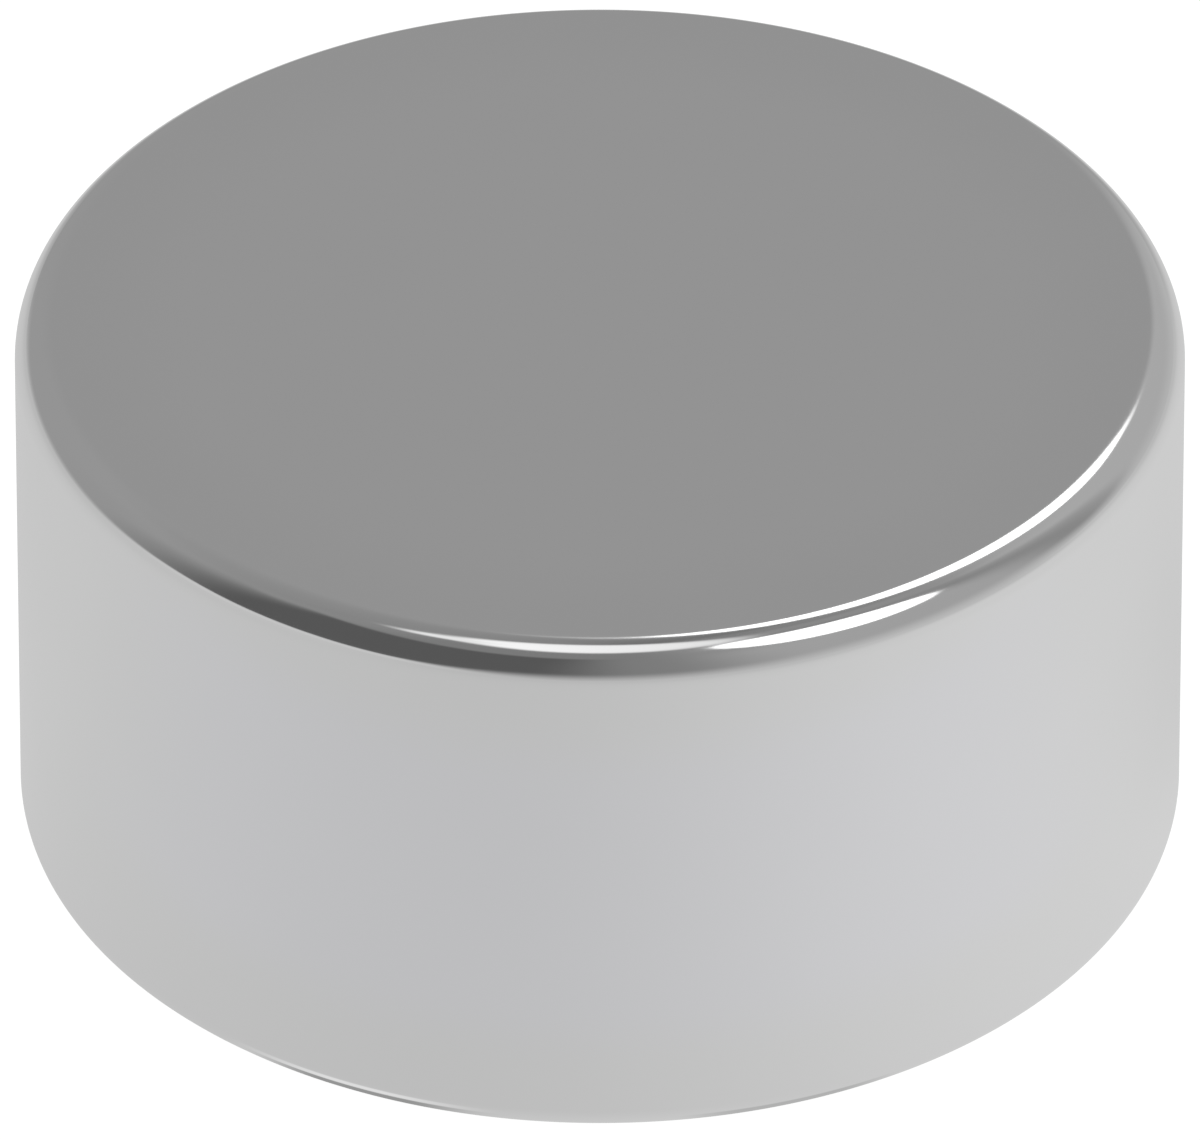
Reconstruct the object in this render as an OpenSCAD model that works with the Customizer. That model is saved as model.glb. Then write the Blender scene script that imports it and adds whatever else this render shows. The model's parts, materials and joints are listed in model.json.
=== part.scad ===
// Disc magnet: one sintered puck with bright plating all over. Two flat pole faces, a straight
// round side, and a rounded rim where the side runs into each face. It lies on its lower pole face,
// with the origin at the middle of that face and +Z along the disc's axis.

/* [Disc] */
// Diameter of the straight side
disc_d = 10; // [2:0.5:60]
// Height from pole face to pole face
disc_h = 5; // [1:0.5:30]

/* [Rims] */
// Radius of the round between the side and each pole face
rim_r = 0.35; // [0.05:0.05:0.45]

/* [Drawing] */
// Straight steps in a full circle of the drawn shape
circle_steps = 192; // [48:24:240]

/* [Hidden] */
plating = [0.76, 0.76, 0.76];
$fn = circle_steps;

// What a rim round takes off a square corner. The corner is at the origin, the material lies
// towards -X and -Y, and the round is tangent to both of its sides.
module corner_waste(r) {
    translate([-r, -r]) difference() {
        square(r);
        circle(r);
    }
}

// Half of the disc's section, from its axis outwards
module half_section() {
    side_x = disc_d / 2;
    difference() {
        square([side_x, disc_h]);
        translate([side_x, disc_h]) corner_waste(rim_r);
        translate([side_x, 0]) mirror([0, 1]) corner_waste(rim_r);
    }
}

module magnet_disc() {
    color(plating) rotate_extrude() half_section();
}

magnet_disc();
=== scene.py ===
"""Looks for the disc magnet: bright plating all over, seen in a small studio with a white floor.

Lengths are in metres and angles in degrees. An azimuth is 0 towards the camera and grows to the right.
"""

import json
import math

import bpy
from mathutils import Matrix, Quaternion, Vector


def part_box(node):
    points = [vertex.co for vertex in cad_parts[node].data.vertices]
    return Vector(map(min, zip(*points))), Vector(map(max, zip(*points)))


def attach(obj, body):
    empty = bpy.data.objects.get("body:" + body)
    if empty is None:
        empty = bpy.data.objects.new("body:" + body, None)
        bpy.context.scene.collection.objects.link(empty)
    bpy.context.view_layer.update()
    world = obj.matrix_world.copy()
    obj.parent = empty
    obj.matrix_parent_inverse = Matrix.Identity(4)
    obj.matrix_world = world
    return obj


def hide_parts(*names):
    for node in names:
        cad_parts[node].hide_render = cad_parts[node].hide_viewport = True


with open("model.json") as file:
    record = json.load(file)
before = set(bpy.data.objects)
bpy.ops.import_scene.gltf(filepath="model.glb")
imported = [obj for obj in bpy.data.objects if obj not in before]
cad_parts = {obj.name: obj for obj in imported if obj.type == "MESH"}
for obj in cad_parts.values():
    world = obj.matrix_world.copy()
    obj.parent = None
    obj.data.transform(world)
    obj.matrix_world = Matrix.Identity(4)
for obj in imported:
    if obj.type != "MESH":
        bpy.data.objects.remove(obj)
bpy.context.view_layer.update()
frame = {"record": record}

# The disc's sizes, read from the frame
low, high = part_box("magnet_disc")
mounts = {mount["name"]: mount for mount in frame["record"]["mounts"]}
side_length = mounts["round_side"]["dims"]["length_mm"] / 1000
disc_radius = min(high.x, high.y, -low.x, -low.y)
disc_height = high.z - low.z
rim_radius = (disc_height - side_length) / 2

# How finely the disc is drawn
STEPS_ROUND = 360
RIM_STEPS = 24
SIDE_STEPS = 6
FACE_RINGS = (0.08, 0.3, 0.6, 0.85)

# Camera: the photograph's view, from far off with a very long lens
IMAGE_PX = (1200, 1140)
DISC_CENTRE_PX = (599.9, 560.4)
CAMERA_DISTANCE = 0.24305
CAMERA_ELEVATION = 35.05
SENSOR_MM = 36.0
LENS_MM = 849.5
NEAR_CLIP = 0.01
FAR_CLIP = 5.0

# Round lamps: azimuth, elevation, half angles sideways and upwards as the disc sees them, and turn
LAMP_DISTANCE = 0.6
LAMP_RADIANCE = 1.9
LAMPS = {
    "front_right_lamp": (69.0, 61.8, 13.7, 14.8, 0.0),
    "back_right_lamp": (160.9, 49.5, 11.2, 10.0, 19.0),
}

# Round soft lights: two glows beside the back right lamp, the overhead scrim and the corner of it that
# reaches left: azimuth, elevation, half angle, soft edge, brightness. They grow brighter to the left
SOFT_LIGHTS = {
    "back_glow": (174.0, 50.8, 4.2, 5.0, 0.90),
    "low_glow": (158.5, 40.3, 3.4, 3.0, 1.80),
    "scrim": (-139.0, 89.4, 12.4, 6.0, 1.46),
    "scrim_corner": (-98.0, 76.8, 4.2, 5.0, 1.15),
}
SLOPE_TO_RIGHT = -0.9

# Upright panels round the disc: middle azimuth, half width, soft edge at the sides,
# top elevation, soft edge at the top, brightness. The ceiling dims the walls and stays behind the cards
WALL_LEVEL = 0.482
WALLS = {
    "back_left_wall": (-139.6, 23.8, 29.7, 90.0, 10.0, 0.502),
    "right_wall": (68.6, 44.5, 25.7, 90.0, 10.0, 0.578),
    "right_gap": (98.3, 9.3, 18.5, 58.3, 8.5, 0.405),
    "back_right_wall": (138.6, 25.0, 11.2, 90.0, 10.0, 0.650),
}
CARDS = {
    "front_shade": (-23.5, 46.6, 40.5, 90.0, 10.0, 0.326),
    "front_gap": (0.4, 13.7, 24.6, 56.1, 10.8, 0.337),
    "left_flap": (-83.0, 13.0, 23.6, 54.4, 9.5, 0.346),
    "dark_card": (-41.9, 39.8, 23.0, 59.8, 5.0, 0.156),
}

# Parts of the ceiling: middle azimuth, half width, soft edge at the sides, the share that each keeps
# of the brightness below it, the elevation where it starts, and its soft edge
CEILINGS = {
    "ceiling": (0.0, 200.0, 10.0, 0.82, 55.0, 26.0),
    "right_ceiling": (106.0, 72.0, 26.0, 0.81, 57.0, 10.0),
    "over_back_lamp": (161.0, 18.0, 14.0, 0.83, 59.0, 5.0),
    "crown": (0.0, 200.0, 10.0, 0.89, 72.3, 16.9),
}

# Where the walls blend into the floor: lowest and highest elevation and brightness, all round, and
# then in sectors of a middle azimuth, half width and soft edge
SWEEP = (-2.3, 20.2, 0.750)
SWEEP_SECTORS = {
    "far_left": (-113.2, 36.9, 28.3, -4.4, 8.1, 0.848),
    "left": (-60.0, 34.5, 37.1, 4.5, 7.2, 0.935),
    "right": (65.0, 30.0, 30.0, -2.3, 20.2, 0.785),
    "right_gap": (104.0, 9.0, 16.0, -2.3, 14.0, 0.755),
    "back": (-173.0, 24.8, 21.4, -5.1, 6.1, 0.467),
}

# What a plain surface is lit by, the same from everywhere above, and the white behind the floor
SKY_LEVEL = 0.85
BACKDROP_LEVEL = 1.0

# The floor's matt white paint, and the plain white light beside it that the camera sees
FLOOR_RADIUS = 1.0
FLOOR_CORNERS = 64
FLOOR_ALBEDO = 0.9
MATT_SHARE = 0.12
WHITE_GLOW = 1.1

# The floor's colour in the metal, and the bluer colour of a belt in front of the disc: the belt's
# half width, soft edge at the sides, distances at which it starts and is full, and at which it fades
# and ends
FLOOR_COLOUR = (0.993, 0.993, 0.993)
BELT_COLOUR = (1.001, 1.001, 1.024)
BELT = (72.0, 40.0, 0.0059, 0.0070, 0.0100, 0.0112)

# The floor's brightness in the metal, and patches that change it, which paint shadows and pools of light
# on the floor: middle azimuth, half width, soft edge at the sides, distances at which it starts and is
# full, brightness
FLOOR_LEVEL = 1.006
FLOOR_PAINTED_LIGHT_AND_SHADE = {
    # Painted shadow at the front left and back left, and a painted pool of light at the right
    "left_shade": (-20.1, 53.3, 117.8, -0.002, -0.001, 0.872),
    "right_painted_pool_of_light": (77.0, 44.0, 96.0, -0.002, -0.001, 1.095),
    "back_left_shade": (-125.0, 22.0, 40.0, -0.002, -0.001, 0.968),
    # Painted shade far off, at the back and at the right, and painted light reaching out at the right
    "far": (0.0, 200.0, 10.0, -0.0098, 0.0620, 0.813),
    "left_far": (-71.1, 34.1, 39.7, 0.0080, 0.0488, 0.878),
    "right_reach": (78.0, 26.0, 40.0, 0.0100, 0.0220, 1.010),
    "right_far": (75.0, 30.0, 40.0, 0.0200, 0.0660, 0.815),
    "right_shade": (115.0, 18.0, 40.0, 0.0100, 0.0052, 0.955),
    "back": (180.0, 24.4, 29.7, 0.0150, 0.0300, 0.472),
    # Painted shade at the disc's foot, and a painted bright line and painted shadow lines where the
    # lower rim meets the floor
    "near": (6.1, 19.5, 100.9, 0.00520, 0.00485, 0.985),
    "painted_bright_line": (-25.7, 9.4, 14.0, 0.005055, 0.005015, 1.235),
    "painted_shadow_line": (-24.8, 10.2, 11.0, 0.004957, 0.004927, 0.500),
    "thin_painted_shadow_line": (20.0, 9.0, 8.0, 0.004950, 0.004925, 0.740),
}

# The plating: its colour on the faces, the share of it that is left at the rims as painted shade and the
# radii between which this painted shade comes in, how much its tone wavers, the share that mirrors the
# same at every angle, its roughness, the height and strength of its fine bump, and the scales of the
# waver and of the bump
PLATING = (0.603, 0.603, 0.603)
RIM_PAINTED_SHADE_SHARE = 0.976
RIM_PAINTED_SHADE_RADII = (0.0034, 0.0046)
PLATING_WAVER = 0.006
EVEN_MIRROR_SHARE = 0.9
ROUGHNESS = (0.07, 0.09)
PEEL_HEIGHT = 0.00002
PEEL_STRENGTH = 0.02
CLOUD_SCALE = 900.0
PEEL_SCALE = 2500.0


def wire(tree, socket, value):
    """Links an output to a socket, or writes a plain value on it."""
    if isinstance(value, bpy.types.NodeSocket):
        tree.links.new(value, socket)
    else:
        socket.default_value = value


def node(tree, kind, inputs=None, **settings):
    """A new shader node with its settings made and its inputs filled."""
    made = tree.nodes.new(kind)
    for name, value in settings.items():
        setattr(made, name, value)
    for name, value in (inputs or {}).items():
        wire(tree, made.inputs[name], value)
    return made


def maths(tree, operation, *values):
    """The result of a Math node."""
    return node(tree, "ShaderNodeMath", dict(enumerate(values)), operation=operation).outputs[0]


def blend_level(tree, share, below, above):
    """One number blended into another by a share from 0 to 1."""
    inputs = {"Factor": share, "A": below, "B": above}
    return node(tree, "ShaderNodeMix", inputs, data_type="FLOAT").outputs["Result"]


def ramp(tree, value, start, end):
    """0 at start, 1 at end, and a smooth change between them. The start may be the larger one."""
    inputs = {"Value": value, "From Min": start, "From Max": end}
    return node(tree, "ShaderNodeMapRange", inputs, interpolation_type="SMOOTHSTEP").outputs[0]


def within(tree, value, half, edge):
    """1 where a value is under half, and 0 above it, with a soft edge across it."""
    return ramp(tree, value, half + edge / 2, half - edge / 2)


def compass(azimuth, elevation):
    """The unit vector that points that way."""
    a, e = math.radians(azimuth), math.radians(elevation)
    return Vector((math.sin(a) * math.cos(e), -math.cos(a) * math.cos(e), math.sin(e)))


def azimuth_of(tree, vector):
    """The azimuth of a vector in degrees."""
    part = node(tree, "ShaderNodeSeparateXYZ", {0: vector}).outputs
    front = maths(tree, "MULTIPLY", part["Y"], -1.0)
    return maths(tree, "DEGREES", maths(tree, "ARCTAN2", part["X"], front))


def beside(tree, azimuth, middle, half, edge):
    """1 in a sector round a middle azimuth, and 0 outside it."""
    turn = maths(tree, "WRAP", maths(tree, "SUBTRACT", azimuth, middle), 180.0, -180.0)
    return within(tree, maths(tree, "ABSOLUTE", turn), half, edge)


def angle_from(tree, vector, azimuth, elevation):
    """How many degrees a unit vector lies off a direction."""
    inputs = {0: vector, 1: compass(azimuth, elevation)}
    share = node(tree, "ShaderNodeVectorMath", inputs, operation="DOT_PRODUCT").outputs["Value"]
    return maths(tree, "DEGREES", maths(tree, "ARCCOSINE", share))


def half_section(radius, height, rim):
    """Points down the outline of half the disc, from its top centre to its bottom centre.

    Each is (radius, height, normal's share outwards, normal's share upwards).
    """
    flat = radius - rim
    points = [(flat * share, height, 0.0, 1.0) for share in FACE_RINGS]
    for step in range(RIM_STEPS + 1):
        turn = math.pi / 2 * step / RIM_STEPS
        out, up = math.sin(turn), math.cos(turn)
        points.append((flat + rim * out, height - rim + rim * up, out, up))
    for step in range(1, SIDE_STEPS):
        z = height - rim - (height - 2 * rim) * step / SIDE_STEPS
        points.append((radius, z, 1.0, 0.0))
    for step in range(RIM_STEPS + 1):
        turn = math.pi / 2 * (1 + step / RIM_STEPS)
        out, up = math.sin(turn), math.cos(turn)
        points.append((flat + rim * out, rim + rim * up, out, up))
    points += [(flat * share, 0.0, 0.0, -1.0) for share in reversed(FACE_RINGS)]
    return points


def add_object(name, data):
    """A new object in the scene."""
    made = bpy.data.objects.new(name, data)
    bpy.context.scene.collection.objects.link(made)
    return made


def lathe(name, points, top, bottom):
    """A closed mesh turned about the Z axis, with each point's own normal kept on it."""
    rows = len(points)
    vertices = [(0.0, 0.0, top), (0.0, 0.0, bottom)]
    normals = [(0.0, 0.0, 1.0), (0.0, 0.0, -1.0)]
    faces = []
    for step in range(STEPS_ROUND):
        turn = 2 * math.pi * step / STEPS_ROUND
        c, s = math.cos(turn), math.sin(turn)
        vertices += [(r * c, r * s, z) for r, z, _, _ in points]
        normals += [(out * c, out * s, up) for _, _, out, up in points]
        here = 2 + step * rows
        there = 2 + (step + 1) % STEPS_ROUND * rows
        faces.append((0, here, there))
        faces += [(here + row, here + row + 1, there + row + 1, there + row) for row in range(rows - 1)]
        faces.append((1, there + rows - 1, here + rows - 1))
    mesh = bpy.data.meshes.new(name)
    mesh.from_pydata(vertices, [], faces)
    mesh.shade_smooth()
    mesh.normals_split_custom_set_from_vertices(normals)
    mesh.update()
    return add_object(name, mesh)


def new_material(name):
    """An empty node material, its tree and its output node."""
    material = bpy.data.materials.new(name)
    material.use_nodes = True
    tree = material.node_tree
    tree.nodes.clear()
    return material, tree, tree.nodes.new("ShaderNodeOutputMaterial")


def bright_plating():
    """Bright nickel-like plating: a mirror whose tone, gloss and height waver very slightly, with a
    painted shade that makes its colour a little darker towards the rims.
    """
    material, tree, output = new_material("bright_plating")
    place = tree.nodes.new("ShaderNodeTexCoord").outputs["Object"]
    cloud_inputs = {"Vector": place, "Scale": CLOUD_SCALE, "Detail": 3.0}
    cloud = node(tree, "ShaderNodeTexNoise", cloud_inputs).outputs[0]
    flattened = {0: place, 1: (1, 1, 0)}
    flat_place = node(tree, "ShaderNodeVectorMath", flattened, operation="MULTIPLY").outputs[0]
    out = node(tree, "ShaderNodeVectorMath", {0: flat_place}, operation="LENGTH").outputs["Value"]
    tone_waver_and_painted_shade = maths(tree, "MULTIPLY_ADD", cloud, 2 * PLATING_WAVER, 1 - PLATING_WAVER)
    # Painted shade: the plating's colour is a little darker towards the rims
    painted_rim_shade = blend_level(tree, ramp(tree, out, *RIM_PAINTED_SHADE_RADII), 1.0, RIM_PAINTED_SHADE_SHARE)
    tone_waver_and_painted_shade = maths(tree, "MULTIPLY", tone_waver_and_painted_shade, painted_rim_shade)
    tone = node(tree, "ShaderNodeMix", {"Factor": tone_waver_and_painted_shade}, data_type="RGBA")
    tone.inputs["A"].default_value = (0, 0, 0, 1)
    tone.inputs["B"].default_value = (*PLATING, 1)
    low_gloss, high_gloss = ROUGHNESS
    gloss = node(tree, "ShaderNodeMapRange", {"Value": cloud, "To Min": low_gloss, "To Max": high_gloss})
    peel_inputs = {"Vector": place, "Scale": PEEL_SCALE, "Detail": 2.0}
    peel = node(tree, "ShaderNodeTexNoise", peel_inputs).outputs[0]
    bump_inputs = {"Height": peel, "Strength": PEEL_STRENGTH, "Distance": PEEL_HEIGHT}
    bump = node(tree, "ShaderNodeBump", bump_inputs).outputs[0]
    metal = node(tree, "ShaderNodeBsdfPrincipled", {"Metallic": 1.0})
    mirror = node(tree, "ShaderNodeBsdfAnisotropic")
    for shader, colour in ((metal, "Base Color"), (mirror, "Color")):
        tree.links.new(tone.outputs["Result"], shader.inputs[colour])
        tree.links.new(gloss.outputs[0], shader.inputs["Roughness"])
        tree.links.new(bump, shader.inputs["Normal"])
    shares = {0: EVEN_MIRROR_SHARE, 1: metal.outputs[0], 2: mirror.outputs[0]}
    plating = node(tree, "ShaderNodeMixShader", shares).outputs[0]
    tree.links.new(plating, output.inputs["Surface"])
    return material


def floor_painted_light_in_metal(tree):
    """The floor's colour and brightness in the metal, by its place round the disc, with its painted
    shadows and painted pools of light.
    """
    place = tree.nodes.new("ShaderNodeTexCoord").outputs["Object"]
    azimuth = azimuth_of(tree, place)
    distance = node(tree, "ShaderNodeVectorMath", {0: place}, operation="LENGTH").outputs["Value"]
    level = FLOOR_LEVEL
    for middle, half, edge, start, full, brightness in FLOOR_PAINTED_LIGHT_AND_SHADE.values():
        sector = beside(tree, azimuth, middle, half, edge)
        share = maths(tree, "MULTIPLY", sector, ramp(tree, distance, start, full))
        level = blend_level(tree, share, level, brightness)
    half, edge, start, full, fade, end = BELT
    belt = maths(tree, "MULTIPLY", ramp(tree, distance, start, full), ramp(tree, distance, end, fade))
    belt = maths(tree, "MULTIPLY", beside(tree, azimuth, 0.0, half, edge), belt)
    colour = node(tree, "ShaderNodeMix", {"Factor": belt}, data_type="RGBA")
    colour.inputs["A"].default_value = (*FLOOR_COLOUR, 1)
    colour.inputs["B"].default_value = (*BELT_COLOUR, 1)
    return colour.outputs["Result"], level


def white_floor():
    """A matt white floor that is white to the camera, keeps a faint real shadow, and in the metal is
    pale with painted shadows and painted light.
    """
    material, tree, output = new_material("white_floor")
    rays = tree.nodes.new("ShaderNodeLightPath").outputs
    direct = maths(tree, "MAXIMUM", rays["Is Camera Ray"], rays["Is Transmission Ray"])
    matt = node(tree, "ShaderNodeBsdfDiffuse", {"Color": (FLOOR_ALBEDO,) * 3 + (1,)}).outputs[0]
    white = node(tree, "ShaderNodeEmission", {"Strength": WHITE_GLOW}).outputs[0]
    colour, level = floor_painted_light_in_metal(tree)
    # In the metal the floor shows painted shadows and painted pools of light, set by its place round the
    # disc
    painted_floor_light_shader = node(tree, "ShaderNodeEmission", {"Color": colour, "Strength": level}).outputs[0]
    share = maths(tree, "MULTIPLY", direct, 1 - MATT_SHARE)
    looks = node(tree, "ShaderNodeMixShader", {0: share, 1: matt, 2: white}).outputs[0]
    looks = node(tree, "ShaderNodeMixShader", {0: rays["Is Glossy Ray"], 1: looks, 2: painted_floor_light_shader}).outputs[0]
    tree.links.new(looks, output.inputs["Surface"])
    material.cycles.emission_sampling = "NONE"
    return material


def build_disc():
    """The plated disc, in the place of its CAD node."""
    points = half_section(disc_radius, disc_height, rim_radius)
    disc = lathe("plated_disc", points, disc_height, 0.0)
    disc.data.materials.append(bright_plating())
    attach(disc, "root")
    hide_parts("magnet_disc")


def build_floor():
    """A round floor, wide enough to fill the view from any side."""
    turns = [2 * math.pi * step / FLOOR_CORNERS for step in range(FLOOR_CORNERS)]
    outline = [(FLOOR_RADIUS * math.cos(turn), FLOOR_RADIUS * math.sin(turn), 0.0) for turn in turns]
    mesh = bpy.data.meshes.new("floor")
    mesh.from_pydata(outline, [], [tuple(range(FLOOR_CORNERS))])
    mesh.materials.append(white_floor())
    add_object("floor", mesh)


def build_lamp(name, azimuth, elevation, half_width, half_height, turn):
    """A round lamp that faces the disc and stays out of the camera's sight."""
    data = bpy.data.lights.new(name, "AREA")
    data.shape = "ELLIPSE"
    across = LAMP_DISTANCE * math.tan(math.radians(half_width))
    upwards = LAMP_DISTANCE * math.tan(math.radians(half_height))
    data.size, data.size_y = 2 * across, 2 * upwards
    data.energy = math.pi * LAMP_RADIANCE * math.pi * across * upwards
    lamp = add_object(name, data)
    away = compass(azimuth, elevation)
    lamp.location = away * LAMP_DISTANCE
    roll = Quaternion((0, 0, 1), math.radians(turn))
    lamp.rotation_euler = (away.to_track_quat("Z", "Y") @ roll).to_euler()
    lamp.visible_camera = False


def add_panels(tree, level, azimuth, elevation, panels):
    """The brightness with upright panels in front of what was there."""
    for middle, half, edge, top, top_edge, brightness in panels.values():
        sector = beside(tree, azimuth, middle, half, edge)
        share = maths(tree, "MULTIPLY", sector, within(tree, elevation, top, top_edge))
        level = blend_level(tree, share, level, brightness)
    return level


def studio_level(tree):
    """How bright the studio is in each direction, as the metal sees it."""
    towards = tree.nodes.new("ShaderNodeTexCoord").outputs["Generated"]
    azimuth = azimuth_of(tree, towards)
    elevation = maths(tree, "SUBTRACT", 90.0, angle_from(tree, towards, 0.0, 90.0))
    level = add_panels(tree, WALL_LEVEL, azimuth, elevation, WALLS)
    for middle, half, edge, kept, start, start_edge in CEILINGS.values():
        sector = beside(tree, azimuth, middle, half, edge)
        overhead = ramp(tree, elevation, start - start_edge / 2, start + start_edge / 2)
        share = maths(tree, "MULTIPLY", sector, overhead)
        level = blend_level(tree, share, level, maths(tree, "MULTIPLY", level, kept))
    level = add_panels(tree, level, azimuth, elevation, CARDS)
    sweep = SWEEP
    for middle, half, edge, *values in SWEEP_SECTORS.values():
        sector = beside(tree, azimuth, middle, half, edge)
        sweep = [blend_level(tree, sector, old, new) for old, new in zip(sweep, values)]
    foot, head, brightness = sweep
    level = blend_level(tree, ramp(tree, elevation, foot, head), brightness, level)
    right = node(tree, "ShaderNodeSeparateXYZ", {0: towards}).outputs["X"]
    for middle, height, half, edge, brightness in SOFT_LIGHTS.values():
        share = within(tree, angle_from(tree, towards, middle, height), half, edge)
        sloped = maths(tree, "MULTIPLY_ADD", right, SLOPE_TO_RIGHT, brightness)
        level = blend_level(tree, share, level, sloped)
    return level


def build_world():
    """Walls, panels, cards and an overhead scrim in the metal, and plain white for everything else."""
    world = bpy.data.worlds.new("studio")
    bpy.context.scene.world = world
    world.use_nodes = True
    world.cycles.sampling_method = "NONE"
    tree = world.node_tree
    tree.nodes.clear()
    rays = tree.nodes.new("ShaderNodeLightPath").outputs
    direct = maths(tree, "MAXIMUM", rays["Is Camera Ray"], rays["Is Transmission Ray"])
    level = blend_level(tree, rays["Is Glossy Ray"], SKY_LEVEL, studio_level(tree))
    level = blend_level(tree, direct, level, BACKDROP_LEVEL)
    glow = node(tree, "ShaderNodeBackground", {"Color": (1, 1, 1, 1), "Strength": level})
    output = tree.nodes.new("ShaderNodeOutputWorld")
    tree.links.new(glow.outputs[0], output.inputs["Surface"])


def build_camera():
    """The photograph's camera, turned so that the disc's centre lands where the photograph has it."""
    data = bpy.data.cameras.new("camera")
    data.sensor_width = SENSOR_MM
    data.lens = LENS_MM
    data.clip_start = NEAR_CLIP
    data.clip_end = FAR_CLIP
    camera = add_object("camera", data)
    away = compass(0, CAMERA_ELEVATION)
    centre = Vector((0, 0, disc_height / 2))
    camera.location = centre + away * CAMERA_DISTANCE
    metres_per_px = CAMERA_DISTANCE * SENSOR_MM / LENS_MM / IMAGE_PX[0]
    right = (IMAGE_PX[0] / 2 - DISC_CENTRE_PX[0]) * metres_per_px
    down = (IMAGE_PX[1] / 2 - DISC_CENTRE_PX[1]) * metres_per_px
    aim = centre + away.to_track_quat("Z", "Y") @ Vector((right, -down, 0))
    camera.rotation_euler = (camera.location - aim).to_track_quat("Z", "Y").to_euler()
    bpy.context.scene.camera = camera


build_camera()
build_disc()
build_floor()
build_world()
for lamp_name, lamp_values in LAMPS.items():
    build_lamp(lamp_name, *lamp_values)
bpy.context.scene.view_settings.view_transform = "Standard"
